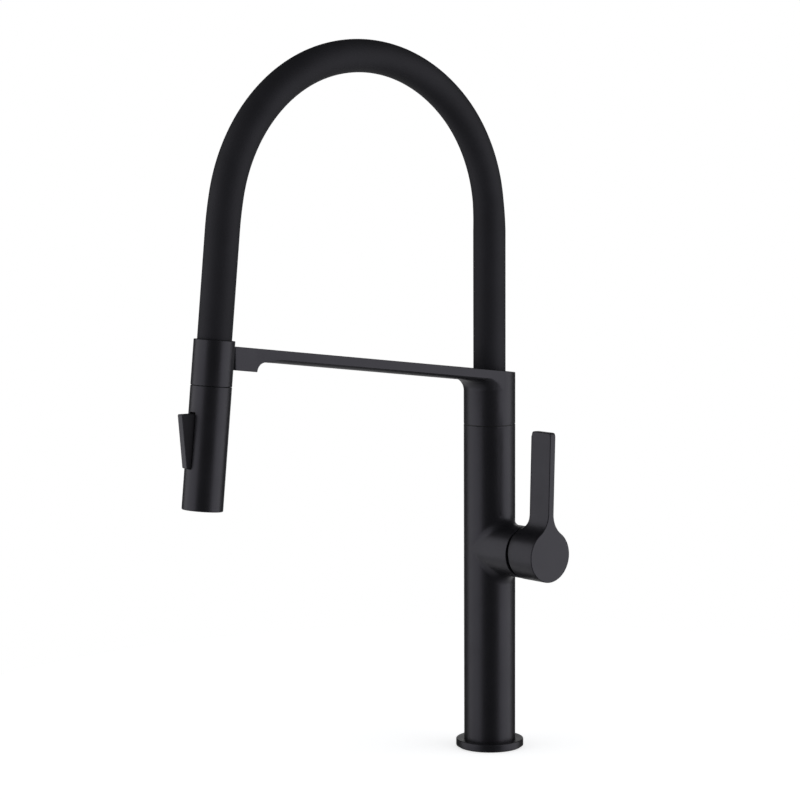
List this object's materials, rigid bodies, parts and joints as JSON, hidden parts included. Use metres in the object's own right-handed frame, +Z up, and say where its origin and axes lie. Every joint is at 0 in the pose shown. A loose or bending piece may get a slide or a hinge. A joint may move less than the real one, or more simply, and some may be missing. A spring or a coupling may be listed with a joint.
{
  "type": "pull-down kitchen faucet",
  "caption": "Matte black single-lever kitchen faucet with a silicone hose arching over a swivelling docking arm, and a magnetically docked pull-off wand with a side trigger.",
  "frame": {"origin": "column axis at the deck plane, centre of the shank thread's mouth", "axes": "+Z up along the column, -Y out along the spout arm, +X out along the lever's boss"},
  "size_m": [0.0901, 0.3049, 0.5206],
  "materials": {
    "black_metal": "matte powder coat, fine grained",
    "silicone": "smooth matte silicone",
    "rubber": "matte",
    "black_plastic": "matte",
    "slip_plastic": "smooth",
    "hose_plastic": "smooth",
    "brass": "machined",
    "copper": "drawn tube",
    "steel": "machined",
    "ceramic": "lapped ceramic",
    "pale_plastic": "moulded"
  },
  "bodies": {
    "stand": {"base_gasket": "rubber", "base_flange": "black_metal", "foot_insert": "brass", "column": "black_metal", "valve_block": "brass", "outlet_tube": "copper", "hot_port_seal": "rubber", "cold_port_seal": "rubber", "mixed_port_seal": "rubber", "cartridge_body": "pale_plastic", "fixed_disc": "ceramic", "cartridge_nut": "brass", "trim_ring": "black_metal", "swivel_spigot": "brass", "lower_spigot_seal": "rubber", "upper_spigot_seal": "rubber", "slip_ring": "slip_plastic"},
    "carrier": {"cartridge_carrier": "pale_plastic", "stem_pin": "steel"},
    "disc": {"moving_disc": "ceramic"},
    "lever": {"lever_stem": "steel", "lever": "black_metal", "lever_set_screw": "steel", "set_screw_plug": "black_plastic"},
    "spout": {"arm": "black_metal", "collar_set_screw": "steel", "dock_magnet": "steel", "riser_tube": "steel", "hose_nipple": "brass", "inner_hose": "hose_plastic", "hose_sleeve": "silicone"},
    "hose_end": {"docking_ring": "black_metal", "ring_keeper": "steel", "hose_ferrule": "steel", "swivel_nipple": "brass", "swivel_seal": "rubber"},
    "wand": {"swivel_nut": "brass", "wand_body": "black_metal", "wand_core": "pale_plastic", "nozzle_mat": "rubber", "spray_face": "black_plastic", "aerator": "pale_plastic", "trigger_pin": "steel"},
    "trigger": {"trigger": "black_plastic"},
    "diverter": {"diverter_plunger": "steel"}
  },
  "joints": [
    {"name": "lever_temperature", "type": "hinge", "parent": "stand", "child": "carrier", "pos_m": [0.024, 0, 0.1503], "axis": [1, 0, 0], "range_deg": [-45, 45]},
    {"name": "lever_flow", "type": "hinge", "parent": "carrier", "child": "lever", "pos_m": [0.024, 0, 0.1503], "axis": [0, 1, 0], "range_deg": [0, 10]},
    {"name": "disc_slide", "type": "slide", "parent": "carrier", "child": "disc", "axis": [0, 0, 1], "range_m": [0, 0.002]},
    {"name": "spout_swivel", "type": "hinge", "parent": "stand", "child": "spout", "pos_m": [0, 0, 0.2418], "axis": [0, 0, 1], "continuous": true},
    {"name": "sprayer_undock", "type": "slide", "parent": "spout", "child": "hose_end", "axis": [0, -0.9947, 0.1028], "range_m": [0, 0.04], "deforming": ["hose_sleeve", "inner_hose"]},
    {"name": "wand_swivel", "type": "hinge", "parent": "hose_end", "child": "wand", "pos_m": [0, -0.2503, 0.31768], "axis": [0, 0.1028, 0.9947], "continuous": true},
    {"name": "trigger_press", "type": "hinge", "parent": "wand", "child": "trigger", "pos_m": [0, -0.26942, 0.23481], "axis": [-1, 0, 0], "range_deg": [0, 8], "stiffness_Nm_per_rad": 0.6, "springref_deg": -5.73},
    {"name": "diverter_slide", "type": "slide", "parent": "wand", "child": "diverter", "axis": [0, 0.9947, -0.1028], "range_m": [0, 0.0033]}
  ],
  "couplings": [
    {"joint": "disc_slide", "follows": "lever_flow", "m_per_rad": 0.0112},
    {"joint": "diverter_slide", "follows": "trigger_press", "m_per_rad": 0.0232}
  ]
}
